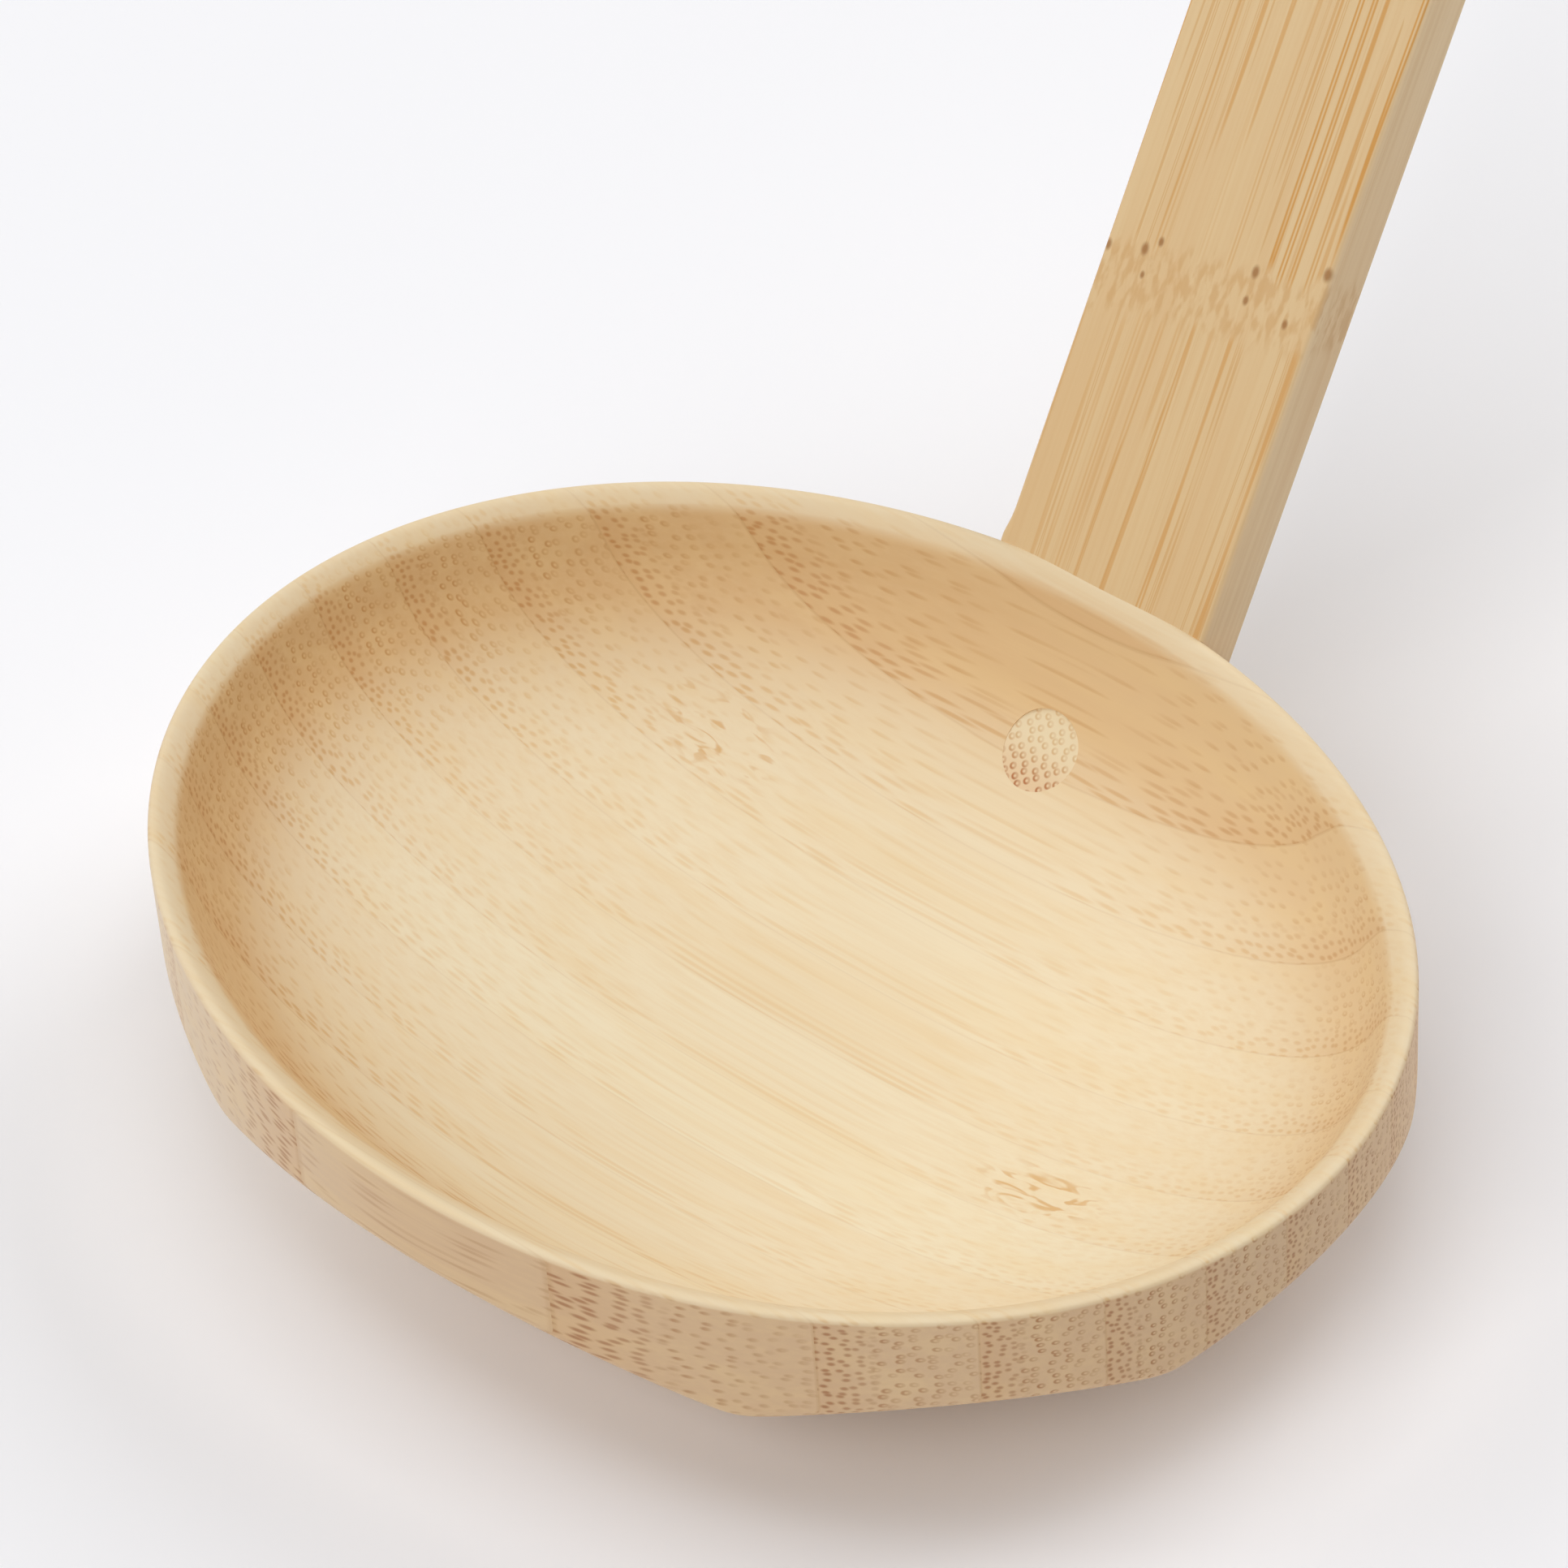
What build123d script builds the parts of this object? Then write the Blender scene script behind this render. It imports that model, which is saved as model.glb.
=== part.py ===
"""Bamboo ladle: an oval bowl edge-glued from bamboo strips, a slat handle let into its back, and one dowel.

The frame: the bowl stands on z = 0 with the origin in the middle of its flat base, +Z up. The grain of the
strips runs along X, the long way of the oval, and the handle leaves the bowl towards +Y.
"""
from build123d import *

import os
from math import cos, hypot, radians, sin

os.makedirs("parts", exist_ok=True)

# Bowl, outside
bowl_length = 80.0            # along the grain
bowl_width = 62.8             # across the strips
bowl_height = 18.0            # flat base to rim
facet_slope = 38.0            # degrees from the table, all eight facets of the underside
end_wall = 6.0                # upright wall above the facets at the two ends, the front and the back
corner_wall = 6.9             # upright wall above the four facets between those
corner_azimuth = 48.0         # degrees from X, the way those four facets face

# Bowl, inside
rim_width = 2.2
rim_chamfer = 0.5             # easing of both edges of the rim
floor_thickness = 2.9         # in the middle of the bowl
floor_flat = 3.0              # half length of the flat in the middle of the floor
wall_fullness = 0.523         # how long the section keeps upright below the rim, as a share of the depth
floor_fullness = 0.622        # how long it keeps level from the middle, as a share of the hollow's half length

# Bamboo strips, planed to the thickness that fills the bowl's width
whole_strips = 11
front_strip = 0.9             # what the oval leaves of one more strip at the front
back_strip = 2.28             # the same at the back

# Handle
handle_width = 15.3
handle_thickness = 4.3
handle_lean = 33.0            # degrees from upright
handle_rise = 86.0            # along the slat, from the rim up
handle_chamfer = 0.4          # easing of the slat's edges
handle_corner = 2.0           # corners of both ends
seat_web = 0.57               # least wood left between the hollow and the slat
glue_gap = 0.05               # film of glue at the sides of the slot

# Dowel
dowel_diameter = 5.0
dowel_fit = 0.05              # film of glue round the dowel
dowel_margin = 0.1            # wood left below the dowel's hole, along the slat
foot_margin = 2.4             # slat left below the dowel

half_length = bowl_length / 2
half_width = bowl_width / 2
inner_length = half_length - rim_width
inner_width = half_width - rim_width
hollow_depth = bowl_height - floor_thickness
rim_easing = min(rim_chamfer, 0.45 * rim_width)
mouth_length = inner_length + rim_easing
strip_thickness = (bowl_width - front_strip - back_strip) / whole_strips
glue_lines = [-half_width + front_strip + number * strip_thickness for number in range(whole_strips + 1)]
dowel_hole = dowel_diameter / 2 + dowel_fit
past = bowl_height            # how far cuts reach past the wood
slope = radians(facet_slope)
lean = radians(handle_lean)


def facet_plane(azimuth, wall):
    """Plane of one underside facet, which leaves the oval wall at the given depth under the rim."""
    way = radians(azimuth)
    reach = hypot(half_length * cos(way), half_width * sin(way))
    touch_x = half_length**2 * cos(way) / reach
    touch_y = half_width**2 * sin(way) / reach
    return Plane(
        origin=(touch_x, touch_y, bowl_height - wall),
        x_dir=(-sin(way), cos(way), 0),
        z_dir=(cos(way) * sin(slope), sin(way) * sin(slope), -cos(slope)),
    )


facets = [facet_plane(azimuth, end_wall) for azimuth in (0, 90, 180, 270)]
for turn in (0, 180):
    facets.append(facet_plane(turn + corner_azimuth, corner_wall))
    facets.append(facet_plane(turn - corner_azimuth, corner_wall))

# Hollow: one curve from the rim to the flat of the floor, turned round and drawn to the oval
with BuildPart() as hollow:
    with BuildSketch(Plane.XZ):
        with BuildLine():
            Bezier(
                (inner_length, bowl_height - rim_easing),
                (inner_length, bowl_height - wall_fullness * hollow_depth),
                (floor_fullness * inner_length, floor_thickness),
                (floor_flat, floor_thickness),
            )
            Polyline(
                (floor_flat, floor_thickness),
                (0, floor_thickness),
                (0, bowl_height + past),
                (mouth_length, bowl_height + past),
                (mouth_length, bowl_height),
                (inner_length, bowl_height - rim_easing),
            )
        make_face()
    revolve(axis=Axis.Z)
    scale(by=(1, inner_width / inner_length, 1))

# Seat of the slat: its inner face passes just behind the hollow. The plane's x runs across the slat, its y up
# along the slat from the rim, and its z out through the slat's thickness.
hollow_reach = hollow.part.rotate(Axis.X, handle_lean).bounding_box().max.Y
seat_y = (hollow_reach + seat_web + bowl_height * sin(lean)) / cos(lean)
seat = Plane(origin=(0, seat_y, bowl_height), x_dir=(-1, 0, 0), z_dir=(0, cos(lean), -sin(lean)))

# Along the slat, down from the rim: where the seat leaves the back facet, where it meets the glue line in front
# of the last whole strip, the dowel as low as both allow, and the slat's lower end
seat_offset = seat_y - half_width
seat_exit = (end_wall * cos(slope) - seat_offset * sin(slope)) / cos(lean + slope)
seat_glue = (seat_y - glue_lines[-2]) / sin(lean)
dowel_drop = min(seat_exit, seat_glue) - dowel_hole - dowel_margin
handle_foot = dowel_drop + dowel_diameter / 2 + foot_margin

# Bowl as it is milled from the glued block, before it is told apart into strips
with BuildPart() as bowl:
    with BuildSketch():
        Ellipse(half_length, half_width)
    extrude(amount=bowl_height)
    chamfer(bowl.faces().sort_by(Axis.Z)[-1].edges(), rim_easing)
    for facet in facets:
        split(bisect_by=facet, keep=Keep.BOTTOM)
    add(hollow.part, mode=Mode.SUBTRACT)
    # Slot for the slat, open to the back and below
    with BuildSketch(seat):
        Rectangle(handle_width + 2 * glue_gap, 2 * handle_foot)
    extrude(amount=past, mode=Mode.SUBTRACT)
    # Hole for the dowel
    with BuildSketch(seat):
        with Locations((0, -dowel_drop)):
            Circle(dowel_hole)
    extrude(amount=-past / 2, mode=Mode.SUBTRACT)

# Strips: the bowl between one glue line and the next, numbered from the front
starts = [-bowl_width] + glue_lines
ends = glue_lines + [bowl_width]
for number, (start, end) in enumerate(zip(starts, ends), start=1):
    name = f"bowl_strip_{number:02d}"
    with BuildPart() as strip:
        add(bowl.part)
        with Locations((0, (start + end) / 2, bowl_height / 2)):
            Box(2 * bowl_length, end - start, 2 * bowl_height, mode=Mode.INTERSECT)
    strip.part.label = name
    export_step(strip.part, f"parts/{name}.step")

# Handle: one slat with eased edges, drilled for the dowel
with BuildPart() as handle:
    with BuildSketch(seat):
        with Locations((0, (handle_rise - handle_foot) / 2)):
            RectangleRounded(handle_width, handle_rise + handle_foot, handle_corner)
    extrude(amount=handle_thickness)
    chamfer(handle.faces().group_by(SortBy.AREA)[-1].edges(), handle_chamfer)
    with BuildSketch(seat):
        with Locations((0, -dowel_drop)):
            Circle(dowel_hole)
    extrude(amount=handle_thickness, mode=Mode.SUBTRACT)
handle.part.label = "handle"
export_step(handle.part, "parts/handle.step")

# Dowel: through the wall and the slat, flush with the inside of the bowl and with the back of the slat
with BuildPart() as dowel:
    with BuildSketch(seat.offset(handle_thickness)):
        with Locations((0, -dowel_drop)):
            Circle(dowel_diameter / 2)
    extrude(amount=-handle_thickness - past / 2)
    add(hollow.part, mode=Mode.SUBTRACT)
dowel.part.label = "dowel"
export_step(dowel.part, "parts/dowel.step")
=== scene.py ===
# %% [markdown]
# # A ladle of laminated bamboo
# The bowl is milled from a block of bamboo strips glued edge to edge, a bamboo slat is let into its back as
# the handle, and one round bamboo pin holds the slat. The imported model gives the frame: it says where every
# piece is, in metres. This script gives each piece its eased edges and its bamboo.

from math import cos, pi, radians, sin, tan

import bmesh
import bpy
import numpy as np
from mathutils import Matrix


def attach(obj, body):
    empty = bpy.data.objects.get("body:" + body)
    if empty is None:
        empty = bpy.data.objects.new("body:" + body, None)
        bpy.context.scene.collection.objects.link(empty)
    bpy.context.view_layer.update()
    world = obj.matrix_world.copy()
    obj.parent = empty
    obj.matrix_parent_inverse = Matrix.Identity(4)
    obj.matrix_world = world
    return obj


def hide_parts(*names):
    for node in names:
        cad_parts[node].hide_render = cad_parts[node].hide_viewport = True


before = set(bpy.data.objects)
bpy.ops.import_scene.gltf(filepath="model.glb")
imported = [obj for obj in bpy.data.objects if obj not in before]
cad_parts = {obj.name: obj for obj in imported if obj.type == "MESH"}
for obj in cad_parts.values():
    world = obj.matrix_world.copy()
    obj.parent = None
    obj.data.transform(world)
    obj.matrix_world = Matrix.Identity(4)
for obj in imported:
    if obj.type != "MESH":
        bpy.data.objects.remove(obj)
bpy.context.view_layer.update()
print("nodes:", sorted(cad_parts))

# %% [markdown]
# ## Sizes
# All sizes are those of the ladle itself, in millimetres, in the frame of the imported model: the bowl stands
# on z = 0, its grain runs along X and the handle leaves it towards +Y. Meshes are worked out in millimetres
# and turned to metres only when they are put into Blender.

# %% Sizes of the ladle
MM = 0.001
HALF = np.array([40.0, 31.4])          # half axes of the oval
RIM_Z = 18.0                           # height of the rim's top
INNER = HALF - 2.2                     # half axes of the hollow's own oval
FLOOR_Z = 2.9                          # height of the hollow's floor
FLOOR_FLAT = 3.0                       # half length of its level middle
SLOPE = tan(radians(38.0))             # of the eight facets below
STRIP = 5.42                           # thickness of a bamboo strip
FIRST_GLUE = -30.5                     # where the first glue line is, along Y
GLUE_LINES = FIRST_GLUE + STRIP * np.arange(12)

LEAN = radians(33.0)                   # of the handle, from upright
SEAT = np.array([0.0, 30.80, RIM_Z])   # where the slat's inner face passes the rim
UP = np.array([0.0, sin(LEAN), cos(LEAN)])
OUT = np.array([0.0, cos(LEAN), -sin(LEAN)])
SLAT_WIDTH, SLAT_THICK = 15.3, 4.3
SLAT_FOOT = -15.47                     # its lower end, along the slat from the rim
SLAT_TOP = 86.0                        # and its upper end
PIN_RADIUS = 2.5
PIN_DROP = 10.57                       # of the pin below the rim, along the slat
print("glue lines at", GLUE_LINES)

# %% [markdown]
# ## The bowl's surface
# The real bowl is turned out of a block by a cutter that goes round an oval, so its surface is one profile
# carried round that oval. A box with modifiers could be bevelled to it, but the hollow would come out
# lumpy. A grid does it in one step: one parameter goes round the oval, the other runs from the middle of
# the base, out along a facet, up the wall, over the rim and down the hollow to the middle of the floor.


# %% Rounding a corner
def easing(start, corner, end, steps):
    """Rounds a corner: the points (1-t)^2 start + 2t(1-t) corner + t^2 end, for t from 0 to 1."""
    t = np.linspace(0.0, 1.0, steps)[:, None, None]
    return (1 - t) ** 2 * start + 2 * t * (1 - t) * corner + t**2 * end


# %% [markdown]
# Eight flat facets are sawn off below the wall, by eye: each has its own height of wall above it. A smooth
# maximum of their planes gives the underside with edges that sanding has eased.

# %% The underside
FACETS = np.radians([2, 90, 180, 270.5, 48, -44, 132, 229])        # azimuths
FACET_WALLS = np.array([5.8, 6.0, 6.0, 6.0, 6.9, 6.8, 6.9, 7.6])   # height of the wall above each
FACET_EDGES, BASE_EDGES = 3.0, 22.0                                # how sharp the edges stay, per mm


def underside(x, y):
    """Height of the underside: the smooth maximum of the base and of the eight facet planes, each of which
    leaves the oval at its own height and falls at one slope towards the middle."""
    reach = np.hypot(HALF[0] * np.cos(FACETS), HALF[1] * np.sin(FACETS))
    across = np.multiply.outer(np.cos(FACETS), x) + np.multiply.outer(np.sin(FACETS), y)
    shape = (-1,) + (1,) * np.ndim(x)
    planes = (RIM_Z - FACET_WALLS).reshape(shape) + SLOPE * (across - reach.reshape(shape))
    facets = np.logaddexp.reduce(FACET_EDGES * planes, axis=0) / FACET_EDGES
    return np.logaddexp(BASE_EDGES * facets, 0.0) / BASE_EDGES


print("wall at the front:", round(RIM_Z - underside(0.0, -HALF[1]), 2), "mm high")

# %% [markdown]
# The hollow has one section all round, steep below the rim and level in the middle. Where the slat stands
# behind it, the real wall is hardly thicker than a card, so there the hollow keeps a little away from the
# slat.

# %% The hollow
SECTION_TOP = 0.6                      # below the rim: where the section starts
STEEP = 0.523                          # share of the depth over which it stays steep
LEVEL = 0.622                          # share of the half axis from which it runs level
DRAWN_IN = 0.45                        # how far it keeps away from the slat, at most
DRAWN_AT, DRAWN_OVER = 5.0, 2.4        # below the rim, and over what height


def hollow_section(steps):
    """The hollow's section from the rim to the floor: a cubic curve, in shares of the half axis and in mm."""
    t = np.linspace(0.0, 1.0, steps)
    depth = RIM_Z - FLOOR_Z
    share = np.array([1.0, 1.0, LEVEL, FLOOR_FLAT / INNER[0]])
    height = np.array([RIM_Z - SECTION_TOP, RIM_Z - STEEP * depth, FLOOR_Z, FLOOR_Z])
    weights = np.stack([(1 - t) ** 3, 3 * t * (1 - t) ** 2, 3 * t**2 * (1 - t), t**3])
    return share @ weights, height @ weights


def hollow_ring(share, height, way):
    """Plan of the hollow at a share of its size: an oval, less a bell curve of the height near the slat."""
    bell = np.exp(-(((RIM_Z - height - DRAWN_AT) / DRAWN_OVER) ** 2))
    drawn_in = DRAWN_IN * bell * np.maximum(way[..., 1], 0) ** 8
    plan = INNER * way * share
    return np.stack([plan[..., 0], plan[..., 1] - drawn_in], axis=-1)


print("hollow:", round(RIM_Z - FLOOR_Z, 1), "mm deep")

# %% Rings of the grid
ROUND = 720                            # points round the oval
angle = np.linspace(0, 2 * pi, ROUND, endpoint=False)
ray = np.stack([np.cos(angle), np.sin(angle)], axis=1)
length = np.linalg.norm(HALF * ray, axis=1)


def oval(share, height):
    """Points on the oval, drawn in to a share of its size, at a height: both may differ round it."""
    share = np.broadcast_to(share, ROUND)
    plan = HALF * ray * share[:, None]
    return np.column_stack([plan, np.broadcast_to(height, ROUND)])


def lower(share):
    """The same on the underside."""
    plan = HALF * ray * np.broadcast_to(share, ROUND)[:, None]
    return np.column_stack([plan, underside(plan[:, 0], plan[:, 1])])


# Where the underside has risen off the base, by halving the shares of the oval between which that is
RISEN = 0.03
flat_share, base_edge = np.zeros(ROUND), np.ones(ROUND)
for halving in range(30):
    middle = (flat_share + base_edge) / 2
    risen = lower(middle)[:, 2] > RISEN
    base_edge = np.where(risen, middle, base_edge)
    flat_share = np.where(risen, flat_share, middle)
print("base:", round(2 * HALF[0] * base_edge[0], 1), "mm long")

# %% [markdown]
# The rim isn't level: sanding has sloped it inwards to a soft lip, below which the wall of the hollow
# drops. Rows stand close where the surface bends, and further apart where it is flat.

# %% The bowl as one grid
FOOT_EDGE = 0.8                        # how far the eased foot of the wall reaches from its corner
RIM_EDGE = 0.45                        # the same for the rim's outer edge
# Two eased corners of the rim, each by start, corner and end, in mm from the outer edge and below the top
CREST = ((RIM_EDGE, 0.0), (0.75, 0.0), (1.50, 0.62))
LIP = ((1.50, 0.62), (1.82, 0.90), (2.05, 1.45))
UNDER_RIM = 6                          # points of the hollow's section that the rim takes over
BASE_ROWS = (0.0, 0.3, 0.6, 0.85, 0.94, 0.97, 0.985, 0.995, 1.0)
FACET_ROWS = np.concatenate([[0.006, 0.015, 0.03, 0.06], np.linspace(0.12, 1.0, 18)])
WALL_ROWS = (0.2, 0.4, 0.6, 0.8)

wall_foot = 1 - FOOT_EDGE / length
rows = [lower(base_edge * share) for share in BASE_ROWS]
rows += [lower(base_edge + (wall_foot - base_edge) * share) for share in FACET_ROWS]
foot = lower(1.0)
above_foot = foot + [0, 0, FOOT_EDGE]
rows += list(easing(rows[-1], foot, above_foot, 7)[1:])
below_rim = oval(1.0, RIM_Z - RIM_EDGE)
rows += [above_foot + (below_rim - above_foot) * share for share in WALL_ROWS]
rows += list(easing(below_rim, oval(1.0, RIM_Z), oval(1 - RIM_EDGE / length, RIM_Z), 8))
for eased in (CREST, LIP):
    corner = [oval(1 - inwards / length, RIM_Z - below) for inwards, below in eased]
    rows += list(easing(*corner, 8))[1:]
section = zip(*hollow_section(64))
hollow_rows = [np.column_stack([hollow_ring(share, z, ray), np.full(ROUND, z)]) for share, z in section]
rows += hollow_rows[UNDER_RIM:]
rows += [hollow_rows[-1] * [share, share, 1] for share in (0.5, 0.0)]
bowl_points = np.stack(rows)
print("bowl grid:", bowl_points.shape)


# %% Normals and faces of a grid
def grid_normals(points):
    """Cross product of the differences along the two ways of a grid whose columns close round."""
    along = np.gradient(points, axis=0)
    around = np.roll(points, -1, axis=1) - np.roll(points, 1, axis=1)
    normal = np.cross(around, along)
    size = np.linalg.norm(normal, axis=2, keepdims=True)
    return np.where(size > 1e-9, normal / np.maximum(size, 1e-9), 0.0)


def tube_faces(count_rows, count_columns):
    """Four-sided faces between neighbouring rows of a grid whose columns close round."""
    row = np.arange(count_rows - 1)[:, None] * count_columns
    column = np.arange(count_columns)[None, :]
    after = (column + 1) % count_columns
    corners = [row + column, row + after, row + count_columns + after, row + count_columns + column]
    return np.stack(corners, axis=-1).reshape(-1, 4).tolist()


def new_mesh(name, points, faces):
    """A mesh from points in millimetres and lists of point numbers."""
    mesh = bpy.data.meshes.new(name)
    mesh.from_pydata(points.reshape(-1, 3) * MM, [], faces)
    mesh.validate()
    return mesh


# %% [markdown]
# The normals are worked out on the whole grid and kept with the mesh, because the strips that are cut from
# it are to be lit as one smooth bowl.

# %% The bowl as a block
normals = grid_normals(bowl_points)
normals[0] = [0, 0, -1]
normals[-1] = [0, 0, 1]
bowl_mesh = new_mesh("bowl_block", bowl_points, tube_faces(*bowl_points.shape[:2]))
run = bowl_mesh.attributes.new("run", "FLOAT_VECTOR", "POINT")
run.data.foreach_set("vector", normals.reshape(-1).astype(np.float32))
block = bmesh.new()
block.from_mesh(bowl_mesh)
bmesh.ops.remove_doubles(block, verts=block.verts, dist=1e-7)
bmesh.ops.recalc_face_normals(block, faces=block.faces)
print("bowl block:", len(block.faces), "faces, volume", round(block.calc_volume() / MM**3), "mm3")

# %% [markdown]
# ## Cutters for the handle's joint
# The slat sits in an inclined slot in the back of the bowl, and the pin goes through slat and wall. Slot
# and hole are cut the way a router and a drill cut them: a block and a rod are taken away from the wood.
# The block is a hair wider than the slat, and the rod is as thick as the pin, because on the real ladle
# glue fills what is left.


# %% The slat's frame
def in_slat(across, along, through):
    """A point of the slat's own frame: across it, up along it from the rim, and out through its thickness."""
    across, along, through = np.broadcast_arrays(across, along, through)
    place = SEAT + along[..., None] * UP + through[..., None] * OUT
    place[..., 0] += across
    return place


def piece(name, data):
    """Links a mesh, a lamp or a camera into the scene as an object."""
    made = bpy.data.objects.new(name, data)
    bpy.context.scene.collection.objects.link(made)
    return made


# %% Cutters
SLOT_HALF = 7.66                       # half width of the slot
PIN_ROUND = 96                         # points round the pin
ROD_REACH = 9.0                        # of the drill, to both sides of the slat's inner face


def box_in_slat(half_width, low, high, near, far):
    """A block in the slat's frame, its eight corners at the given limits."""
    corner = np.array([[i, j, k] for i in (0, 1) for j in (0, 1) for k in (0, 1)])
    limits = np.array([[-half_width, low, near], [half_width, high, far]])
    points = in_slat(limits[corner[:, 0], 0], limits[corner[:, 1], 1], limits[corner[:, 2], 2])
    faces = [[0, 1, 3, 2], [4, 6, 7, 5], [0, 4, 5, 1], [2, 3, 7, 6], [0, 2, 6, 4], [1, 5, 7, 3]]
    return points, faces


def outward(mesh):
    """Merges doubled points and turns a closed mesh's faces outwards."""
    shell = bmesh.new()
    shell.from_mesh(mesh)
    bmesh.ops.remove_doubles(shell, verts=shell.verts, dist=1e-8)
    bmesh.ops.recalc_face_normals(shell, faces=shell.faces)
    shell.to_mesh(mesh)
    shell.free()
    return mesh


# The slot's block goes well past the wood every way but one: it stops at the slat's inner face
slot_block = box_in_slat(SLOT_HALF, -40.0, 40.0, 0.0, 30.0)
slot_cutter = piece("slot_cutter", outward(new_mesh("slot", *slot_block)))
turn = np.linspace(0, 2 * pi, PIN_ROUND, endpoint=False)
pin_across, pin_along = PIN_RADIUS * np.cos(turn), PIN_RADIUS * np.sin(turn) - PIN_DROP
rod = np.stack([in_slat(pin_across, pin_along, depth) for depth in (-ROD_REACH, ROD_REACH)])
rod_faces = tube_faces(2, PIN_ROUND)
rod_faces += [list(range(PIN_ROUND)), list(range(PIN_ROUND, 2 * PIN_ROUND))]
pin_cutter = piece("pin_cutter", outward(new_mesh("pin_rod", rod, rod_faces)))
print("cutters:", slot_cutter.name, "and", pin_cutter.name)

# %% [markdown]
# ## Strips
# Each strip is the bowl between two glue lines, so two flat cuts through the block give it, and the cuts
# are closed by flat faces, the glued faces. The block's own normals are kept on the strip, so that light
# runs on over the glue lines as it does on sanded wood.


# %% Sawing
def cut_apart(low, high):
    """The part of the bowl's block between two planes across Y, closed by flat faces."""
    part = block.copy()
    for place, way in ((low, -1), (high, 1)):
        geometry = part.verts[:] + part.edges[:] + part.faces[:]
        cut = bmesh.ops.bisect_plane(
            part, geom=geometry, plane_co=(0, place * MM, 0), plane_no=(0, way, 0), clear_outer=True
        )
        edges = [edge for edge in cut["geom_cut"] if isinstance(edge, bmesh.types.BMEdge)]
        if edges:
            bmesh.ops.holes_fill(part, edges=edges, sides=0)
    return part


# %% Keeping the normals
def to_corners(mesh):
    """Moves the kept normals from the points to the corners, where a boolean cut carries them on."""
    vectors = np.zeros(len(mesh.vertices) * 3, dtype=np.float32)
    mesh.attributes["run"].data.foreach_get("vector", vectors)
    owner = np.zeros(len(mesh.loops), dtype=np.int32)
    mesh.loops.foreach_get("vertex_index", owner)
    mesh.attributes.remove(mesh.attributes["run"])
    corner = mesh.attributes.new("run", "FLOAT_VECTOR", "CORNER")
    corner.data.foreach_set("vector", vectors.reshape(-1, 3)[owner].reshape(-1))


def shade(mesh):
    """Gives every corner the block's normal where that is within 60 degrees of its face's own, which it gets
    elsewhere."""
    count = len(mesh.loops)
    kept = np.zeros(count * 3, dtype=np.float32)
    mesh.attributes["run"].data.foreach_get("vector", kept)
    kept = kept.reshape(-1, 3)
    flat = np.zeros(len(mesh.polygons) * 3, dtype=np.float32)
    mesh.polygons.foreach_get("normal", flat)
    totals = np.zeros(len(mesh.polygons), dtype=np.int32)
    mesh.polygons.foreach_get("loop_total", totals)
    flat = np.repeat(flat.reshape(-1, 3), totals, axis=0)
    agrees = (kept * flat).sum(axis=1) > 0.5
    kept = np.where(agrees[:, None], kept, flat)
    kept /= np.maximum(np.linalg.norm(kept, axis=1, keepdims=True), 1e-9)
    mesh.polygons.foreach_set("use_smooth", np.ones(len(mesh.polygons), dtype=bool))
    mesh.normals_split_custom_set(kept.tolist())
    mesh.attributes.remove(mesh.attributes["run"])


# %% Cut the strips
def carve(made, cutters):
    """Takes cutters away from an object by boolean cuts, and returns the finished mesh."""
    for cutter in cutters:
        modifier = made.modifiers.new("cut", "BOOLEAN")
        modifier.operation = "DIFFERENCE"
        modifier.solver = "EXACT"
        modifier.object = cutter
    graph = bpy.context.evaluated_depsgraph_get()
    mesh = bpy.data.meshes.new_from_object(made.evaluated_get(graph))
    made.modifiers.clear()
    return mesh


PAST_BOWL = 40.0                       # a plane across Y that the bowl doesn't reach
limits = np.concatenate([[-PAST_BOWL], GLUE_LINES, [PAST_BOWL]])
joint_cutters = {11: [pin_cutter], 12: [slot_cutter, pin_cutter], 13: [slot_cutter]}
strips = {}
for number in range(1, 14):
    name = f"bowl_strip_{number:02d}"
    part = cut_apart(limits[number - 1], limits[number])
    mesh = bpy.data.meshes.new(name + "_wood")
    part.to_mesh(mesh)
    part.free()
    to_corners(mesh)
    strip = piece(name + "_wood", mesh)
    if number in joint_cutters:
        strip.data = carve(strip, joint_cutters[number])
    shade(strip.data)
    strips[name] = strip
    print(name, len(strip.data.polygons), "faces")
block.free()

# %% [markdown]
# ## Handle
# The handle is one flat slat with eased edges and rounded corners. Its section, a rectangle with small
# rounded edges, is carried up the slat; towards both ends it narrows by the corner's round and thins by the
# edge's.


# %% The slat's section
def slat_section(half_width, half_thick, edge, steps=6):
    """Rectangles with rounded corners, one for each station, as closed runs of points across and through the
    slat: a corner is a quarter circle of the edge's radius."""
    turn = np.linspace(0, pi / 2, steps)
    across, through = [], []
    for quarter, (side, face) in enumerate(((1, 1), (-1, 1), (-1, -1), (1, -1))):
        a = turn + quarter * pi / 2
        across.append(side * (half_width - edge)[:, None] + np.multiply.outer(edge, np.cos(a)))
        through.append(face * (half_thick - edge)[:, None] + np.multiply.outer(edge, np.sin(a)))
    return np.concatenate(across, axis=1), np.concatenate(through, axis=1)


def rounded_off(radius, reach):
    """How far a round draws a side in near the end: its radius less the height of its circle there."""
    return radius - np.sqrt(np.maximum(radius**2 - np.maximum(radius - reach, 0) ** 2, 0))


def smooth(mesh):
    """Shades a mesh smooth but for its sharp edges."""
    mesh.polygons.foreach_set("use_smooth", np.ones(len(mesh.polygons), dtype=bool))
    mesh.set_sharp_from_angle(angle=radians(35))


# %% The slat
SLAT_EDGE = 0.35                       # radius of its eased edges
END_EDGE = 0.98                        # share of that radius lost at the ends, so that points stay apart
SLAT_CORNER = 2.0                      # radius of its corners, seen from the front
FLARE = 0.25                           # how much further its left side stands out by the rim
FLARE_AT, FLARE_OVER = 0.1, 1.1        # where that is along the slat, and over what length

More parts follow.
